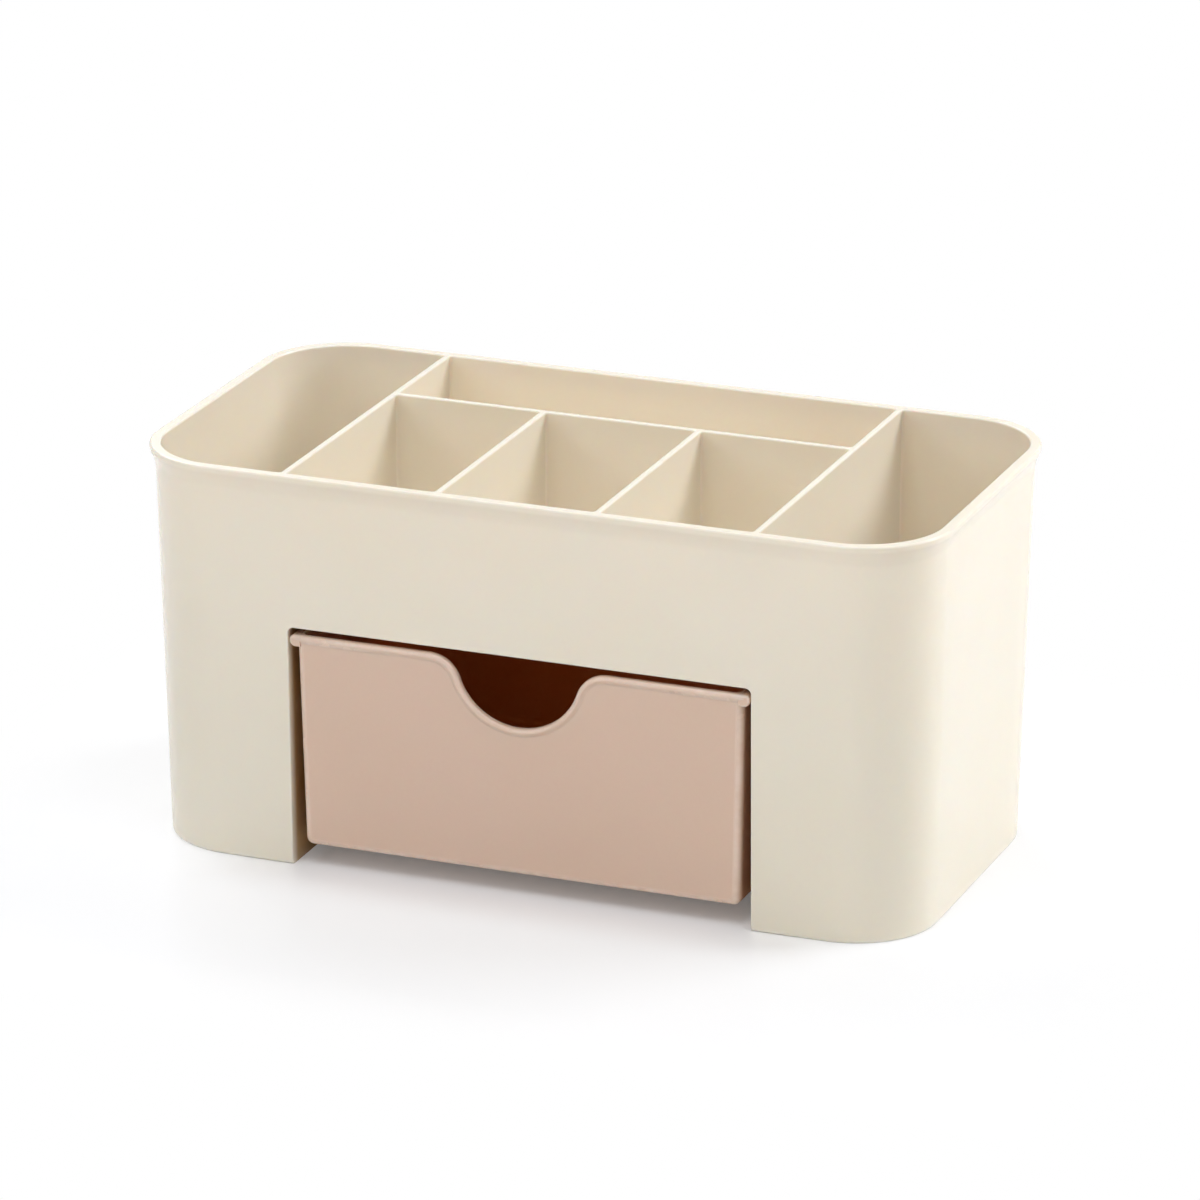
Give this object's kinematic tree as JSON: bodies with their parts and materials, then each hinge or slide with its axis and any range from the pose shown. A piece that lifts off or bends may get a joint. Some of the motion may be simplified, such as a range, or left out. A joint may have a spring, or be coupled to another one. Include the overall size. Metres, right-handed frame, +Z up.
{
  "type": "makeup organizer with drawer",
  "caption": "Moulded plastic desk organizer: open compartments on top, deep end cells, and a pull-out drawer with a finger notch",
  "frame": {"origin": "On the table, under the middle of the rim (bounding box bottom centre).", "axes": "+X to the right seen from the front, -Y towards the user and the way the drawer opens, +Z up."},
  "size_m": [0.221, 0.117, 0.109],
  "materials": {
    "housing": "ivory polypropylene, satin gloss",
    "drawer": "dusty pink polypropylene, satin gloss"
  },
  "bodies": {
    "box": {"housing": "housing"},
    "tray": {"drawer": "drawer"}
  },
  "joints": [
    {"name": "drawer_slide", "type": "slide", "parent": "box", "child": "tray", "axis": [0, -1, 0], "range_m": [0, 0.07]}
  ]
}
